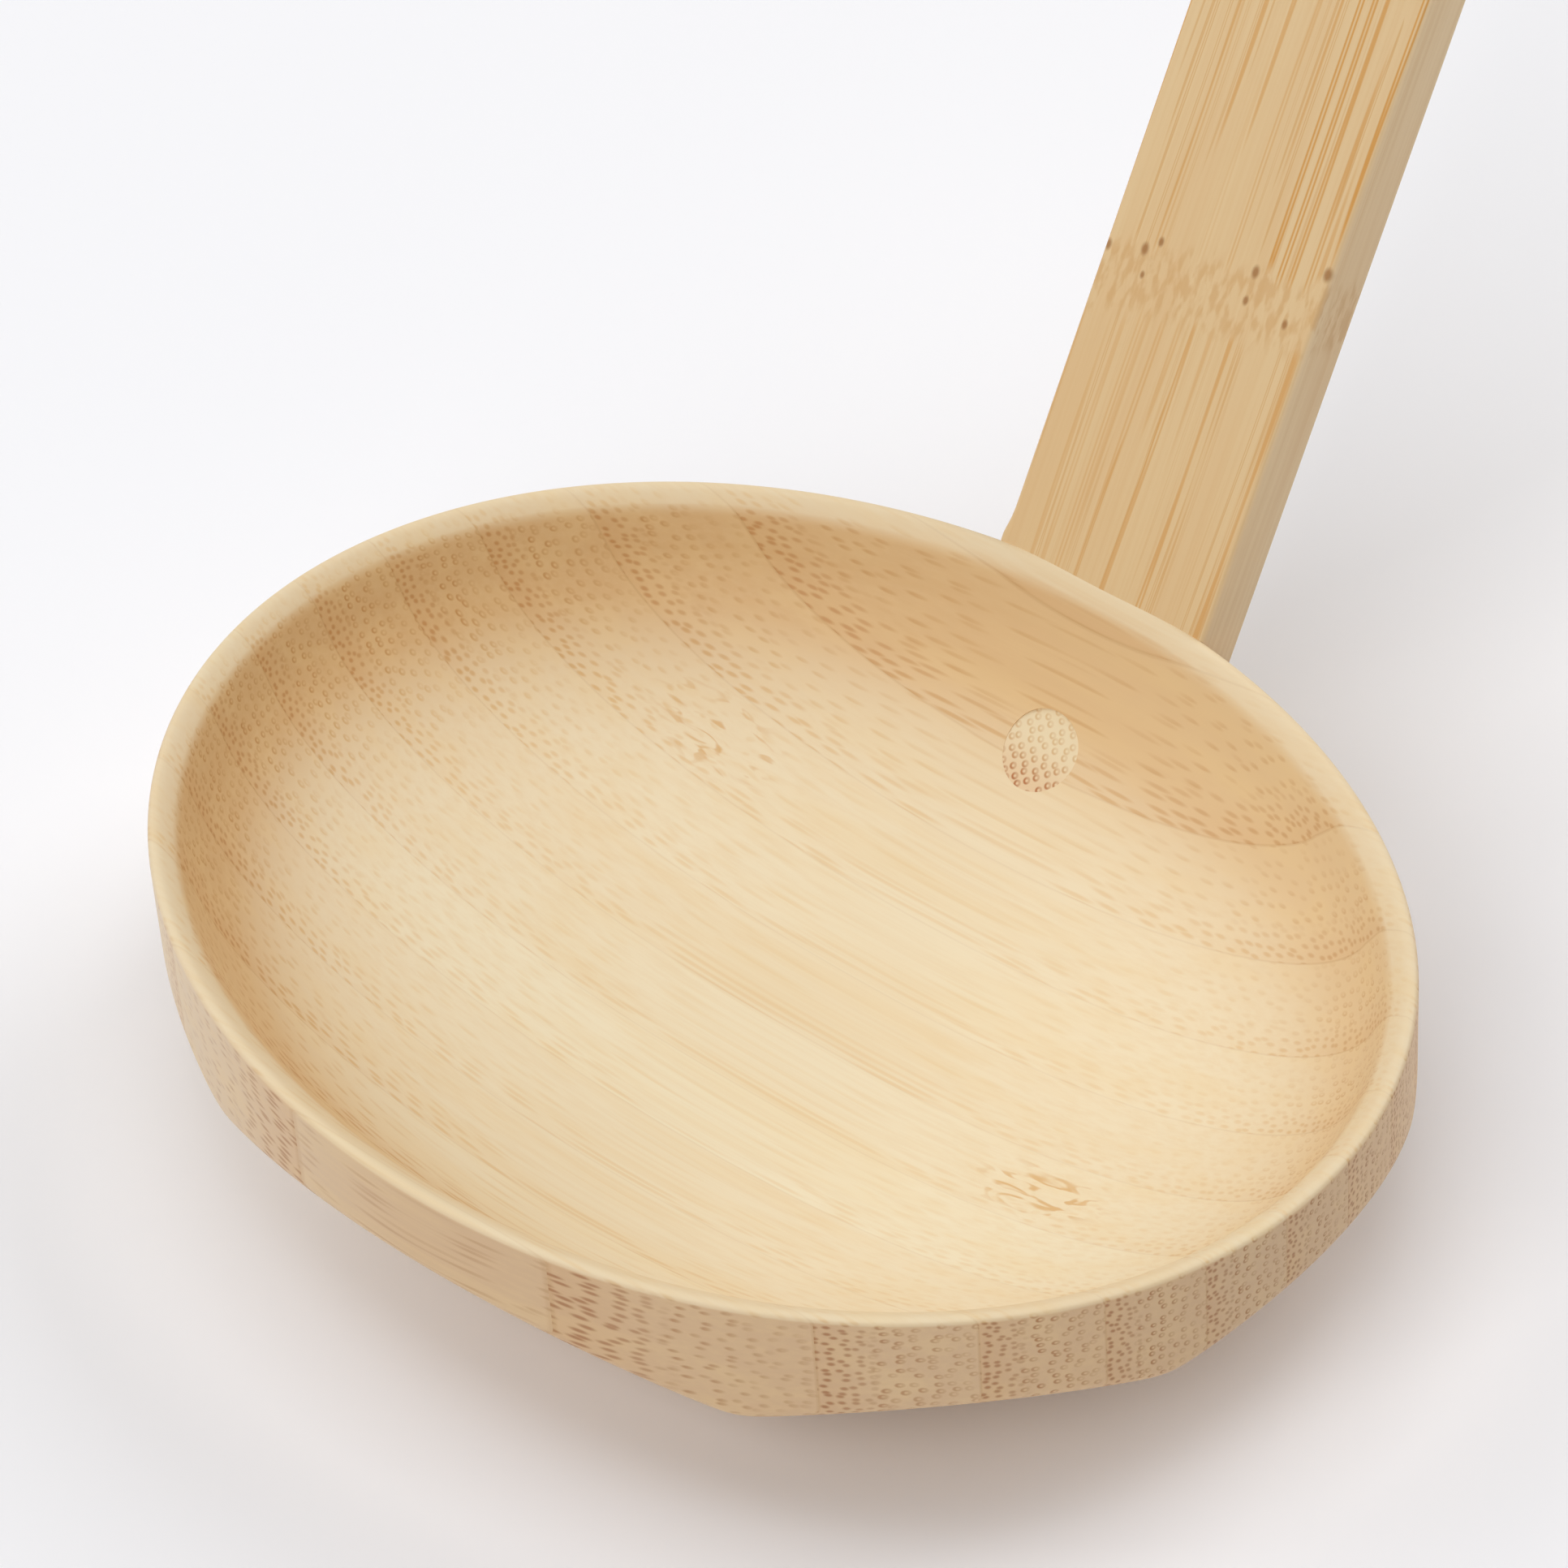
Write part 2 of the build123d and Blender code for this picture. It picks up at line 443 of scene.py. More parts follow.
near_end = SLAT_CORNER * (1 - np.cos(np.linspace(0, pi / 2, 14)))
between = np.linspace(SLAT_FOOT + 3, SLAT_TOP - 3, 240)
station = np.concatenate([SLAT_FOOT + near_end, between, SLAT_TOP - near_end[::-1]])
reach = np.minimum(station - SLAT_FOOT, SLAT_TOP - station)
narrowed, thinned = rounded_off(SLAT_CORNER, reach), rounded_off(SLAT_EDGE, reach)
half_width, half_thick = SLAT_WIDTH / 2 - narrowed, SLAT_THICK / 2 - thinned
across, through = slat_section(half_width, half_thick, SLAT_EDGE - END_EDGE * thinned)
flare = FLARE * np.exp(-(((station - FLARE_AT) / FLARE_OVER) ** 2))
across = across - flare[:, None] * (across < 0)
slat_points = in_slat(across, station[:, None], through + SLAT_THICK / 2)
count, around = slat_points.shape[:2]
slat_faces = tube_faces(count, around)
slat_faces += [list(range(around)), list(range((count - 1) * around, count * around))]
handle = piece("handle_slat", outward(new_mesh("handle_slat", slat_points, slat_faces)))
handle.data = carve(handle, [pin_cutter])
smooth(handle.data)
print("handle:", len(handle.data.polygons), "faces")

# %% [markdown]
# ## Pin
# The pin is a bamboo rod sawn and sanded flush with the bowl's inside and with the back of the slat. Its
# inner end follows the hollow, so each point of that end is pushed along the pin until it meets the hollow.


# %% The pin
def hollow_height(x, y):
    """Height of the hollow over a point, read from its section by the point's share of the inner oval."""
    share, height = hollow_section(400)
    return np.interp(np.hypot(x / INNER[0], y / INNER[1]), share[::-1], height[::-1])


def meet_hollow(across, along):
    """How deep the pin's end is at each point: from the slat's inner face and from 8 mm before it, halves the
    depth between wood and air until they meet."""
    wood, air = np.full_like(across, 0.0), np.full_like(across, -8.0)
    for halving in range(40):
        depth = (wood + air) / 2
        place = in_slat(across, along, depth)
        is_air = place[..., 2] > hollow_height(place[..., 0], place[..., 1])
        air = np.where(is_air, depth, air)
        wood = np.where(is_air, wood, depth)
    return (wood + air) / 2


radius = np.concatenate([np.linspace(0.0, 0.98, 14), [1.0]]) * PIN_RADIUS
end_across = np.multiply.outer(radius, np.cos(turn))
end_along = np.multiply.outer(radius, np.sin(turn)) - PIN_DROP
inner_end = in_slat(end_across, end_along, meet_hollow(end_across, end_along))
outer_end = in_slat(end_across, end_along, np.full_like(end_across, SLAT_THICK))
pin_points = np.concatenate([inner_end, outer_end[::-1]])
pin_mesh = outward(new_mesh("dowel_pin", pin_points, tube_faces(*pin_points.shape[:2])))
smooth(pin_mesh)
dowel = piece("dowel_pin", pin_mesh)
for cutter in (slot_cutter, pin_cutter):
    bpy.data.objects.remove(cutter)
print("pin:", len(pin_mesh.polygons), "faces")

# %% [markdown]
# ## Colours and nodes
# Every finish below is bamboo, worked out by nodes from the point's own place in millimetres, so the grain
# goes through the wood as it does in the plant. Colours are written as on a colour chart, in sRGB, and one
# function turns them to the linear values that the renderer wants.


# %% Colours and nodes
def linear(code):
    """An sRGB hex colour as linear red, green, blue and full alpha."""
    value = np.array([int(code[i:i + 2], 16) for i in (1, 3, 5)]) / 255
    value = np.where(value <= 0.04045, value / 12.92, ((value + 0.055) / 1.055) ** 2.4)
    return (*value.tolist(), 1.0)


def add(tree, kind, inputs=(), out=0, **settings):
    """Adds one node with its settings, fills or links its inputs by order or name, and returns one output."""
    made = tree.nodes.new("ShaderNode" + kind)
    for name, value in settings.items():
        setattr(made, name, value)
    for name, value in inputs.items() if isinstance(inputs, dict) else enumerate(inputs):
        if isinstance(value, bpy.types.NodeSocket):
            tree.links.new(value, made.inputs[name])
        else:
            made.inputs[name].default_value = value
    return made.outputs[out]


def start_material(name):
    """A new material with its tree, its shader and the point's own place in millimetres."""
    material = bpy.data.materials.new(name)
    material.use_nodes = True
    tree = material.node_tree
    place = add(tree, "TexCoord", out="Object")
    place = add(tree, "VectorMath", {0: place, "Scale": 1000.0}, operation="SCALE")
    return material, tree, tree.nodes["Principled BSDF"], place


# Settings that come again and again: a smooth step from 0 to 1, one colour over another by a share, a product
SMOOTH = {"interpolation_type": "SMOOTHSTEP"}
OVER = {"data_type": "RGBA", "out": 2}
TIMES = {"operation": "MULTIPLY"}
print("pale ground of bamboo, linear:", np.round(linear("#f2e4c4"), 3))

# %% [markdown]
# ## Fibre bundles
# Bamboo has no rings of growth. Its wood is pale ground with bundles of fibres, which run along the stem.
# Cut across, a bundle is a brown ring round pale vessels; cut along, it is a streak. Near the skin of the
# stem the bundles are small, dark and close, towards the inside large, pale and far apart. A Voronoi
# pattern gives one cell to each bundle, and the distance from the cell's middle draws the ring. The pattern
# lies in the plane across the grain and hardly changes along it, so the same nodes give rings on the end
# grain and streaks on the side.


# %% Bundles
def bundles(tree, flat, cell, uneven):
    """One bundle in each cell of a size in mm. Returns the distance from the middle of the nearest bundle,
    how far to one side of it the point is, and a random number for the bundle."""
    place = add(tree, "VectorMath", [flat, (*cell, 1.0)], operation="DIVIDE")
    settings = {"voronoi_dimensions": "2D", "out": "Position"}
    middle = add(tree, "TexVoronoi", {"Vector": place, "Scale": 1.0, "Randomness": uneven}, **settings)
    inside = add(tree, "VectorMath", [place, middle], operation="SUBTRACT")
    inside = add(tree, "VectorMath", [inside, (*cell, 0.0)], **TIMES)
    far = add(tree, "VectorMath", [inside], out="Value", operation="LENGTH")
    aside = add(tree, "SeparateXYZ", [inside])
    chance = add(tree, "SeparateColor", [middle.node.outputs["Color"]])
    return far, aside, chance


def ring(tree, far, radius):
    """A soft ring: full where the distance is the radius, nothing three quarters of the radius off."""
    off = add(tree, "Math", [far, radius], operation="SUBTRACT")
    off = add(tree, "Math", [off], operation="ABSOLUTE")
    return add(tree, "MapRange", [off, 0.75 * radius, 0.15 * radius], **SMOOTH)


# %% [markdown]
# ## Laminated bamboo, sanded
# The bowl's strips are planed bamboo, glued and milled, then sanded smooth and left matt. The eye sees a
# pale cream floor with long streaks, darker walls with small rings, faint glue lines, and one tone for each
# strip. The skin side of every strip, where the bundles are close, is its side towards the front.

# %% Strips, and how the grain wanders
bamboo, tree, shader, place = start_material("laminated_bamboo_sanded")
grain = add(tree, "SeparateXYZ", [place])
thick, up = grain.node.outputs[1], grain.node.outputs[2]

# Which strip the point is in, how far through it from the skin side, and three random numbers for the strip
through = add(tree, "Math", [thick, 1 / STRIP, -FIRST_GLUE / STRIP], operation="MULTIPLY_ADD")
number = add(tree, "Math", [through], operation="FLOOR")
through = add(tree, "Math", [through], operation="FRACT")
dice = add(tree, "TexWhiteNoise", {"W": number}, out="Color", noise_dimensions="1D")
offset = add(tree, "VectorMath", [dice, (40.0, 90.0, 70.0)], **TIMES)

# Bundles wander slowly: by some tenths of a millimetre over a few centimetres of grain
slow = add(tree, "VectorMath", [place, (1 / 24, 1 / 7, 1 / 7), offset], operation="MULTIPLY_ADD")
wander = add(tree, "TexNoise", {"Vector": slow, "Scale": 1.0, "Detail": 1.5}, out="Color")
wander = add(tree, "VectorMath", [wander, (0.0, 0.9, 1.5), offset], operation="MULTIPLY_ADD")

# At a node of the stem, in two of the strips, they break up into an eddy
STEM_NODES = ((20.0, -0.7), (-18.0, 15.6))     # middle of each, along the grain and across it, in mm
NODE_HALF = (6.0, 2.9)                         # half sizes in mm
node_here = 0.0
for along, across in STEM_NODES:
    size = (1 / NODE_HALF[0], 1 / NODE_HALF[1], 0.0)
    middle = (-along / NODE_HALF[0], -across / NODE_HALF[1], 0.0)
    off = add(tree, "VectorMath", [place, size, middle], operation="MULTIPLY_ADD")
    off = add(tree, "VectorMath", [off], out="Value", operation="LENGTH")
    near = add(tree, "MapRange", [off, 1.0, 0.35], **SMOOTH)
    node_here = add(tree, "Math", [near, node_here], operation="ADD")
eddy = add(tree, "TexNoise", {"Vector": place, "Scale": 0.5, "Detail": 1.0}, out="Color")
eddy = add(tree, "VectorMath", [eddy, (0.5, 0.5, 0.5)], operation="SUBTRACT")
eddy_size = add(tree, "Math", [node_here, 1.2], **TIMES)
eddy = add(tree, "VectorMath", {0: eddy, "Scale": eddy_size}, operation="SCALE")
moved = add(tree, "VectorMath", [wander, eddy], operation="ADD")
moved = add(tree, "VectorMath", [moved, place], operation="ADD")
moved = add(tree, "SeparateXYZ", [moved])
flat = add(tree, "CombineXYZ", [moved.node.outputs[1], moved.node.outputs[2]])
print("strips and grain:", len(tree.nodes), "nodes so far")

# %% [markdown]
# The walls stand across the grain or along it, and both are darker than the level floor and the rim, where
# the bundles are cut at a slant and thin out to streaks. So the finish asks which way the surface looks,
# whether it is the rim, and whether it is inside the bowl or outside.

# %% Which way the surface looks
normal = add(tree, "NewGeometry", out="Normal")
end_grain = add(tree, "SeparateXYZ", [normal])
facing = end_grain.node.outputs[2]
end_grain = add(tree, "Math", [end_grain], operation="ABSOLUTE")
end_grain = add(tree, "MapRange", [end_grain, 0.35, 0.75], **SMOOTH)
upright = add(tree, "MapRange", [facing, 0.99, 0.60], **SMOOTH)
rim_here = add(tree, "MapRange", [up, RIM_Z - 1.25, RIM_Z - 0.25], **SMOOTH)
looks_up = add(tree, "MapRange", [facing, 0.2, 0.6], **SMOOTH)
rim_here = add(tree, "Math", [rim_here, looks_up], **TIMES)
rim_level = add(tree, "MapRange", [rim_here, 0.0, 1.0, 1.0, 0.3])
upright = add(tree, "Math", [upright, rim_level], **TIMES)
outwards = add(tree, "VectorMath", [place, (1.0, 1.0, 0.0)], **TIMES)
outwards = add(tree, "VectorMath", [outwards, normal], out="Value", operation="DOT_PRODUCT")
outside = add(tree, "MapRange", [outwards, -2.0, 4.0], **SMOOTH)
# how far right and how far left the point is: the walls there face the left lamp and get painted light below
to_right = add(tree, "MapRange", [grain, -32.0, 32.0], **SMOOTH)
to_left = add(tree, "MapRange", [grain, 0.0, -26.0])
print("ways:", len(tree.nodes), "nodes so far")

# %% [markdown]
# Bundles show most on the outer wall in front, and less on the floor, the rim and the hindmost strip, inside
# towards the right and outside towards the left. On the skin side of a strip they are small close dots,
# behind that rings. Which of the two a bundle is goes by where its middle is, so that none is cut in half.

# %% Rings and streaks
calm = add(tree, "MapRange", [facing, 0.80, 0.985, 1.0, 0.55], **SMOOTH)
rim_calm = add(tree, "MapRange", [rim_here, 0.0, 1.0, 1.0, 0.6])
last_strip = add(tree, "MapRange", [number, 10.4, 10.6, 1.0, 0.35])     # the foremost is -1, the hindmost 11
inner_calm = add(tree, "MapRange", [to_right, 0.0, 1.0, 0.85, 0.55])
outer_calm = add(tree, "MapRange", [to_left, 0.0, 1.0, 1.0, 0.5])
wall_calm = add(tree, "Mix", {0: outside, 2: inner_calm, 3: outer_calm})
for share in (rim_calm, last_strip, wall_calm):
    calm = add(tree, "Math", [calm, share], **TIMES)

# Dots
fine, aside, _ = bundles(tree, flat, (0.48, 0.42), 0.65)
fine = add(tree, "MapRange", [fine, 0.19, 0.05], **SMOOTH)
at = add(tree, "Math", [aside, -1 / STRIP, through], operation="MULTIPLY_ADD")
here = add(tree, "MapRange", [at, 0.42, 0.24], **SMOOTH)
dark = add(tree, "MapRange", [at, 0.40, 0.02, 0.35, 0.72], **SMOOTH)
for share in (here, dark, calm):
    fine = add(tree, "Math", [fine, share], **TIMES)

# Rings on the end grain and streaks elsewhere, each darker on its skin side
far, aside, chance = bundles(tree, flat, (0.64, 0.56), 0.65)
wide = add(tree, "MapRange", [far, 0.19, 0.06, 0.0, 0.8], **SMOOTH)
wide = add(tree, "Mix", {0: end_grain, 2: wide, 3: ring(tree, far, 0.128)})
at = add(tree, "Math", [aside, -1 / STRIP, through], operation="MULTIPLY_ADD")
here = add(tree, "MapRange", [at, 0.24, 0.38], **SMOOTH)
dark = add(tree, "MapRange", [at, 0.3, 1.0, 0.90, 0.50], **SMOOTH)
skin_side = add(tree, "MapRange", [aside, 0.2, -0.2, 0.35, 1.0], **SMOOTH)
strong = add(tree, "MapRange", [chance, 0.0, 0.7, 0.50, 1.0], **SMOOTH)
for share in (here, dark, skin_side, strong, calm):
    wide = add(tree, "Math", [wide, share], **TIMES)
print("bundles:", len(tree.nodes), "nodes so far")

# %% [markdown]
# The ground is cream on the floor and warmer on the walls. Towards the right inside and towards the left
# outside, where the walls face the left lamp, it is painted paler: painted light, and on the outside painted
# sheen. Long fibres, slow clouds, a tone for each strip and a browner skin side lie over it.

# %% Ground
fibre = add(tree, "VectorMath", [place, (0.035, 2.6, 2.6)], **TIMES)
fibre = add(tree, "TexNoise", {"Vector": fibre, "Scale": 1.0, "Detail": 3.0, "Roughness": 0.6})
cloud = add(tree, "VectorMath", [place, (0.03, 0.5, 0.5)], **TIMES)
cloud = add(tree, "TexNoise", {"Vector": cloud, "Scale": 1.0, "Detail": 2.0})
fibre_share = add(tree, "MapRange", [fibre, 0.35, 0.75, 0.0, 0.28], **SMOOTH)
cloud_share = add(tree, "MapRange", [cloud, 0.40, 0.75, 0.0, 0.25], **SMOOTH)
tone = add(tree, "SeparateColor", [dice])
tone = add(tree, "Math", [tone, 0.12], **TIMES)
skin = add(tree, "MapRange", [through, 0.34, 0.0, 0.0, 0.16], **SMOOTH)
skin = add(tree, "Math", [skin, upright], **TIMES)
# paler towards the right inside, where the wall faces the left lamp: painted light
inner = add(tree, "Mix", {0: to_right, 6: linear("#dcb683"), 7: linear("#e6c99e")}, **OVER)
# paler and greyer towards the left outside, where the wall faces the left lamp: painted light and painted
# sheen
outer = add(tree, "Mix", {0: to_left, 6: linear("#d8b790"), 7: linear("#e4d0b4")}, **OVER)
wall = add(tree, "Mix", {0: outside, 6: inner, 7: outer}, **OVER)
colour = add(tree, "Mix", {0: upright, 6: linear("#f2e4c4"), 7: wall}, **OVER)
rim_share = add(tree, "Math", [rim_here, 0.28], **TIMES)
colour = add(tree, "Mix", {0: rim_share, 6: colour, 7: linear("#dcb988")}, **OVER)
colour = add(tree, "Mix", {0: fibre_share, 6: colour, 7: linear("#e6c899")}, **OVER)
colour = add(tree, "Mix", {0: cloud_share, 6: colour, 7: linear("#edd09a")}, **OVER)
colour = add(tree, "Mix", {0: tone, 6: colour, 7: linear("#dcb07a")}, **OVER)
colour = add(tree, "Mix", {0: skin, 6: colour, 7: linear("#c88f55")}, **OVER)

print("ground:", len(tree.nodes), "nodes so far")

# %% [markdown]
# The bundles lie over the ground, brown on the walls and straw yellow on the floor. Short orange streaks
# bend in the stem's nodes, and the glue shows as a faint line at each face of a strip.

# %% Bundles, stem nodes and glue over the ground
wall_ink = add(tree, "Mix", {0: outside, 6: linear("#be823f"), 7: linear("#a66a33")}, **OVER)
ink = add(tree, "Mix", {0: upright, 6: linear("#e2b96f"), 7: wall_ink}, **OVER)
colour = add(tree, "Mix", {0: wide, 6: colour, 7: ink}, **OVER)
wall_ink = add(tree, "Mix", {0: outside, 6: linear("#bb7c3c"), 7: linear("#a0612f")}, **OVER)
ink = add(tree, "Mix", {0: upright, 6: linear("#dfb166"), 7: wall_ink}, **OVER)
colour = add(tree, "Mix", {0: fine, 6: colour, 7: ink}, **OVER)

# Orange streaks, a few millimetres long
dashes = add(tree, "VectorMath", [place, (0.30, 1.5, 1.5)], **TIMES)
dashes = add(tree, "TexNoise", {"Vector": dashes, "Scale": 1.0, "Detail": 1.0, "Distortion": 0.9})
dashes = add(tree, "MapRange", [dashes, 0.54, 0.68, 0.0, 0.6], **SMOOTH)
dashes = add(tree, "Math", [dashes, node_here], **TIMES)
colour = add(tree, "Mix", {0: dashes, 6: colour, 7: linear("#d29a48")}, **OVER)

# Glue
edge = add(tree, "Math", [through, 0.5], operation="PINGPONG")
glue = add(tree, "MapRange", [edge, 0.016, 0.004], **SMOOTH)
glue_share = add(tree, "MapRange", [upright, 0.0, 1.0, 0.08, 0.20])
glue = add(tree, "Math", [glue, glue_share], **TIMES)
colour = add(tree, "Mix", {0: glue, 6: colour, 7: linear("#b5834a")}, **OVER)
tree.links.new(colour, shader.inputs["Base Color"])

# Matt, with the bundles a hair deeper than the ground, as sanding leaves them
shader.inputs["Roughness"].default_value = 0.5
shader.inputs["Specular IOR Level"].default_value = 0.35
relief = add(tree, "Math", [fine, -0.6, fibre], operation="MULTIPLY_ADD")
relief = add(tree, "Math", [wide, -0.5, relief], operation="MULTIPLY_ADD")
bump = add(tree, "Bump", {"Height": relief, "Strength": 0.12, "Distance": 0.00004})
tree.links.new(bump, shader.inputs["Normal"])
print("laminated bamboo:", len(tree.nodes), "nodes")

# %% [markdown]
# ## Bamboo slat, sanded
# The handle is split from one stem, so its bundles run straight up the slat as thin orange streaks, and a
# node of the stem crosses it: there the streaks break off, the ground is mottled and a few vessel ends show
# as brown specks. A Mapping node turns the wood's place into the slat's own frame: across it, along it and
# through it.

# %% Slat: its own frame, and the node across it
slat_bamboo, tree, shader, place = start_material("bamboo_slat_sanded")
TURN = LEAN - pi / 2                           # about X: turns the slat's way up to the pattern's Y
turned = np.array([[1, 0, 0], [0, cos(TURN), -sin(TURN)], [0, sin(TURN), cos(TURN)]])
settings = {"Vector": place, "Rotation": (TURN, 0.0, 0.0), "Location": tuple(-turned @ SEAT)}
place = add(tree, "Mapping", settings, vector_type="POINT")
side = add(tree, "SeparateXYZ", [place])
along, deep = side.node.outputs[1], side.node.outputs[2]
ragged = add(tree, "VectorMath", [place, (0.9, 0.25, 0.9)], **TIMES)
ragged = add(tree, "TexNoise", {"Vector": ragged, "Scale": 1.0, "Detail": 2.0})
askew = add(tree, "Math", [side, -0.2, along], operation="MULTIPLY_ADD")
askew = add(tree, "Math", [ragged, 3.0, askew], operation="MULTIPLY_ADD")

# Where the node comes up and fades again along the slat, and where the streaks above it begin, in mm
NODE_UP, NODE_OFF, NODE_ABOVE = (17.6, 19.2), (23.3, 21.9), (21.0, 22.2)
band = add(tree, "MapRange", [askew, *NODE_UP], **SMOOTH)
above = add(tree, "MapRange", [askew, *NODE_ABOVE], **SMOOTH)
band_end = add(tree, "MapRange", [askew, *NODE_OFF], **SMOOTH)
band = add(tree, "Math", [band, band_end], **TIMES)
print("slat's node:", len(tree.nodes), "nodes so far")

# %% [markdown]
# The streaks are the same bundles, seen along the stem. They are other bundles above the node than below
# it, and stronger there, most of all towards the right edge. The slat's narrow faces are plainer.

# %% Slat: streaks
slow = add(tree, "VectorMath", [place, (0.13, 0.025, 0.13)], **TIMES)
wander = add(tree, "TexNoise", {"Vector": slow, "Scale": 1.0, "Detail": 1.5}, out="Color")
jump = add(tree, "VectorMath", {0: (3.4, 0.0, 7.9), "Scale": above}, operation="SCALE")
wander = add(tree, "VectorMath", [wander, (0.9, 0.0, 1.6), jump], operation="MULTIPLY_ADD")
moved = add(tree, "VectorMath", [wander, place], operation="ADD")
moved = add(tree, "SeparateXYZ", [moved])
flat = add(tree, "CombineXYZ", [moved.node.outputs[2], moved])
streak, _, chance = bundles(tree, flat, (0.90, 0.74), 0.9)
streak = ring(tree, streak, 0.13)
hair, _, hair_chance = bundles(tree, flat, (0.40, 0.34), 0.9)
hair = ring(tree, hair, 0.07)
facing = add(tree, "NewGeometry", out="Normal")
facing = add(tree, "SeparateXYZ", [facing])
facing = add(tree, "Math", [facing], operation="ABSOLUTE")
# the narrow faces: their grain is plainer, and below they get painted sheen
narrow_face = add(tree, "MapRange", [facing, 0.55, 0.85], **SMOOTH)
strong = add(tree, "MapRange", [chance, 0.15, 0.9, 0.10, 1.0], **SMOOTH)
towards_right = add(tree, "MapRange", [side, -6.0, 5.0, 0.55, 1.0], **SMOOTH)
over_node = add(tree, "MapRange", [above, 0.0, 1.0, 0.70, 1.0])
plain = add(tree, "MapRange", [narrow_face, 0.0, 1.0, 1.0, 0.15])
broken = add(tree, "MapRange", [band, 0.0, 1.0, 1.0, 0.12])
for share in (strong, towards_right, over_node, plain, broken):
    streak = add(tree, "Math", [streak, share], **TIMES)
faint = add(tree, "MapRange", [hair_chance, 0.3, 1.0, 0.0, 0.5], **SMOOTH)
for share in (faint, plain, broken):
    hair = add(tree, "Math", [hair, share], **TIMES)
print("streaks:", len(tree.nodes), "nodes so far")

# %% [markdown]
# The ground is tan with long fibres and slow clouds, and mottled in the node. The narrow faces are painted
# paler: painted sheen, as they catch the white surroundings at a grazing angle.

# %% Slat: ground and streaks
fibre = add(tree, "VectorMath", [place, (2.4, 0.03, 2.4)], **TIMES)
fibre = add(tree, "TexNoise", {"Vector": fibre, "Scale": 1.0, "Detail": 3.0, "Roughness": 0.6})
cloud = add(tree, "VectorMath", [place, (0.35, 0.03, 0.35)], **TIMES)
cloud = add(tree, "TexNoise", {"Vector": cloud, "Scale": 1.0, "Detail": 2.0})
mottle = add(tree, "VectorMath", [place, (1.9, 0.6, 1.9)], **TIMES)
mottle = add(tree, "TexNoise", {"Vector": mottle, "Scale": 1.0, "Detail": 2.0})
fibre_share = add(tree, "MapRange", [fibre, 0.35, 0.70, 0.0, 0.35], **SMOOTH)
cloud_share = add(tree, "MapRange", [cloud, 0.40, 0.70, 0.0, 0.30], **SMOOTH)
mottle_share = add(tree, "MapRange", [mottle, 0.42, 0.62, 0.0, 0.5], **SMOOTH)
mottle_share = add(tree, "Math", [mottle_share, band], **TIMES)
# paler on the narrow faces: painted sheen
colour = add(tree, "Mix", {0: narrow_face, 6: linear("#e4c799"), 7: linear("#efd4aa")}, **OVER)
colour = add(tree, "Mix", {0: fibre_share, 6: colour, 7: linear("#dcb681")}, **OVER)
colour = add(tree, "Mix", {0: cloud_share, 6: colour, 7: linear("#dcb583")}, **OVER)
colour = add(tree, "Mix", {0: mottle_share, 6: colour, 7: linear("#cfa065")}, **OVER)
colour = add(tree, "Mix", {0: hair, 6: colour, 7: linear("#cf9850")}, **OVER)
colour = add(tree, "Mix", {0: streak, 6: colour, 7: linear("#d39a50")}, **OVER)

print("ground:", len(tree.nodes), "nodes so far")

# %% Slat: vessel ends in its node
# Places across and along the slat, and half sizes, in mm
SPECKS = (
    (-7.4, 19.3, 0.22), (-4.9, 20.0, 0.24), (-4.0, 20.8, 0.18), (-4.5, 18.5, 0.14), (2.7, 21.6, 0.24),
    (2.7, 19.8, 0.18), (7.3, 23.3, 0.26), (5.7, 19.5, 0.18),
)
front = add(tree, "MapRange", [deep, -0.8, -0.4], **SMOOTH)
for across, height, size in SPECKS:
    off = add(tree, "VectorMath", [place, (across, height, 0.0)], operation="SUBTRACT")
    off = add(tree, "VectorMath", [off, (1.0, 0.62, 0.0)], **TIMES)
    off = add(tree, "VectorMath", [off], out="Value", operation="LENGTH")
    speck = add(tree, "MapRange", [off, 1.5 * size, 0.4 * size, 0.0, 0.8], **SMOOTH)
    speck = add(tree, "Math", [speck, front], **TIMES)
    colour = add(tree, "Mix", {0: speck, 6: colour, 7: linear("#9a6632")}, **OVER)
tree.links.new(colour, shader.inputs["Base Color"])
shader.inputs["Roughness"].default_value = 0.55
shader.inputs["Specular IOR Level"].default_value = 0.3
relief = add(tree, "Math", [streak, -0.5, fibre], operation="MULTIPLY_ADD")
bump = add(tree, "Bump", {"Height": relief, "Strength": 0.2, "Distance": 0.00004})
tree.links.new(bump, shader.inputs["Normal"])
print("bamboo slat:", len(tree.nodes), "nodes")

# %% [markdown]
# ## Bamboo end grain
# The pin shows its cut end: pale ground with some forty-five bundles, closer and redder on the side that
# was nearest to the skin of the stem. The same bundles run along the pin, so its sides show streaks.

# %% Bamboo end grain
pin_bamboo, tree, shader, place = start_material("bamboo_pin_end_grain")
pin_middle = SEAT - PIN_DROP * UP
settings = {"Vector": place, "Rotation": (TURN, 0.0, 0.0), "Location": tuple(-turned @ pin_middle)}
place = add(tree, "Mapping", settings, vector_type="POINT")
height = add(tree, "SeparateXYZ", [place]).node.outputs[1]
place = add(tree, "VectorRotate", {"Vector": place, "Angle": radians(-40.0)}, rotation_type="Z_AXIS")
bundle, aside, _ = bundles(tree, place, (0.66, 0.60), 0.45)
bundle = ring(tree, bundle, 0.155)
skin = add(tree, "MapRange", [height, 0.8, -2.4], **SMOOTH)
one_side = add(tree, "MapRange", [aside, 0.15, -0.15, 0.45, 1.0], **SMOOTH)
strong = add(tree, "MapRange", [skin, 0.0, 1.0, 0.55, 0.95])
for share in (one_side, strong):
    bundle = add(tree, "Math", [bundle, share], **TIMES)
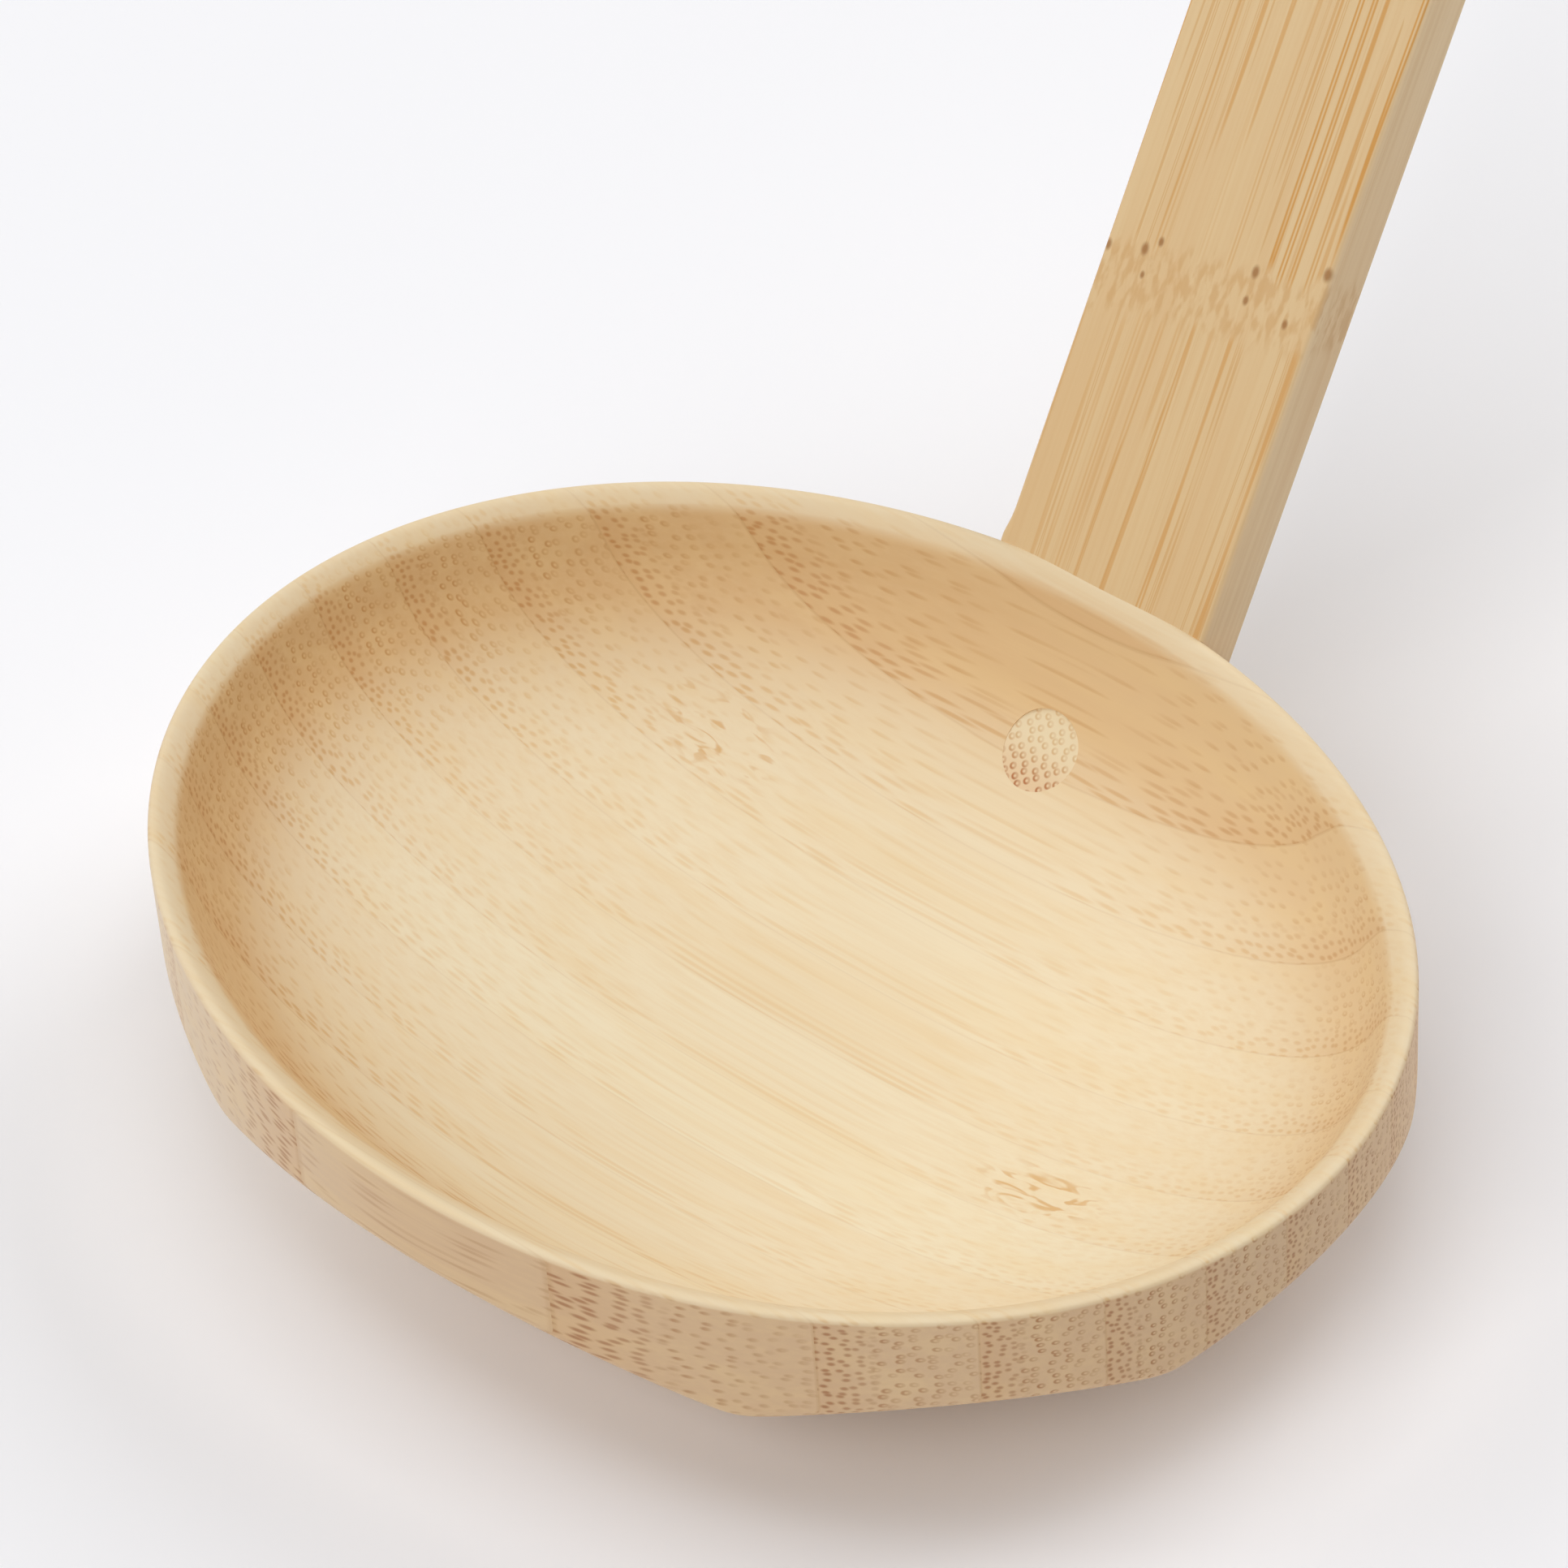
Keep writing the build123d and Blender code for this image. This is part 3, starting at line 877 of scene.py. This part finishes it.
redder = add(tree, "Math", [skin, 0.40], **TIMES)
colour = add(tree, "Mix", {0: redder, 6: linear("#ecdab6"), 7: linear("#dba876")}, **OVER)
ink = add(tree, "Mix", {0: skin, 6: linear("#cfa468"), 7: linear("#b06a39")}, **OVER)
colour = add(tree, "Mix", {0: bundle, 6: colour, 7: ink}, **OVER)
tree.links.new(colour, shader.inputs["Base Color"])
shader.inputs["Roughness"].default_value = 0.6
shader.inputs["Specular IOR Level"].default_value = 0.3
print("bamboo end grain:", len(tree.nodes), "nodes")

# %% [markdown]
# ## Bodies, nodes and finishes
# Each piece rides on the one body of the rigid model, stands for its node of the imported model, and takes
# its finish.

# %% Bodies, nodes and finishes
made = {name: (strip, bamboo, "bowl") for name, strip in strips.items()}
made["handle"] = (handle, slat_bamboo, "handle")
made["dowel"] = (dowel, pin_bamboo, "dowel")
for node, (thing, finish, slot) in made.items():
    thing.data.materials.clear()
    thing.data.materials.append(finish)
    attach(thing, "root")
    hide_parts(node)
print(len(made), "pieces stand for their nodes")

# %% [markdown]
# ## Floor
# The ladle stands on a floor of plain white paper, matt to the eye, which goes far enough to fill the view.

# %% Floor
FLOOR_HALF = 3000.0                    # half its side
floor_corners = np.array([[-1, -1, 0], [1, -1, 0], [1, 1, 0], [-1, 1, 0]]) * FLOOR_HALF
floor = piece("floor", new_mesh("floor", floor_corners, [[0, 1, 2, 3]]))
paper = bpy.data.materials.new("white_paper_floor")
paper.use_nodes = True
shader = paper.node_tree.nodes["Principled BSDF"]
shader.inputs["Base Color"].default_value = linear("#fafafd")
shader.inputs["Roughness"].default_value = 0.9
floor.data.materials.append(paper)
print("floor:", 2 * FLOOR_HALF * MM, "m wide")

# %% [markdown]
# ## Light
# Large soft lamps all round, as in a product studio: the strongest from behind, so that the far wall of the
# hollow falls into soft shade and the shadow comes forward. A white world fills in faintly, and only what
# the sanded wood mirrors of it is bright, as the white walls of a studio are.

# %% World
WORLD_FILL, WORLD_MIRRORED = 0.05, 0.9     # its strength for light in general, and for what surfaces mirror
world = bpy.data.worlds.new("studio")
bpy.context.scene.world = world
world.use_nodes = True
background = world.node_tree.nodes["Background"]
background.inputs["Color"].default_value = (1, 1, 1, 1)
glossy = add(world.node_tree, "LightPath", out="Is Glossy Ray")
strength = add(world.node_tree, "MapRange", [glossy, 0.0, 1.0, WORLD_FILL, WORLD_MIRRORED])
world.node_tree.links.new(strength, background.inputs["Strength"])
print("world:", WORLD_FILL, "and", WORLD_MIRRORED, "where it is mirrored")


# %% Lamps
def set_up(made, right, up, back, place):
    """Turns an object's X, Y and Z to three ways at right angles, and puts it at a place in metres."""
    turned = Matrix(np.column_stack([right, up, back]).tolist()).to_4x4()
    turned.translation = place
    made.matrix_world = turned


def lamp(name, place, aim, size, power):
    """A soft square lamp at a place, turned to a point, both in metres."""
    light = bpy.data.lights.new(name, "AREA")
    light.shape = "SQUARE"
    light.size = size
    light.energy = power
    way = np.array(aim) - np.array(place)
    side = np.cross(way, [0.0, 0.3, 1.0])
    side /= np.linalg.norm(side)
    back = -way / np.linalg.norm(way)
    set_up(piece(name, light), side, np.cross(back, side), back, place)


LAMP_SIDE = 2.2                        # in metres
LAMPS = {                              # places in metres, and watts
    "left_softbox": ((-2.4, -0.6, 2.0), 28.0),
    "back_softbox": ((0.7, 2.5, 2.0), 44.5),
    "front_softbox": ((0.3, -2.4, 2.0), 41.5),
    "top_softbox": ((0.0, 0.0, 3.2), 34.5),
}
for name, (place, power) in LAMPS.items():
    lamp(name, place, (0, 0, 0), LAMP_SIDE, power)
print(len(LAMPS), "lamps")

# %% [markdown]
# ## Camera
# A long lens from the front right, looking down at the bowl by 43 degrees. Its three ways come from the
# rim's oval, the glue lines and the edges of the handle in the picture.

# %% Camera
LENS = 161.98                          # focal length
CAMERA_AT = np.array([199.38, -213.33, 301.62])
view = bpy.data.cameras.new("camera")
view.lens = LENS
camera = piece("camera", view)
right = np.array([0.764036, 0.643171, -0.050792])
down = np.array([0.415161, -0.550383, -0.724375])
ahead = np.array([-0.493852, 0.532362, -0.687532])
set_up(camera, right, -down, -ahead, CAMERA_AT * MM)
bpy.context.scene.camera = camera
bpy.context.scene.view_settings.view_transform = "Standard"
print("camera at", CAMERA_AT, "mm")
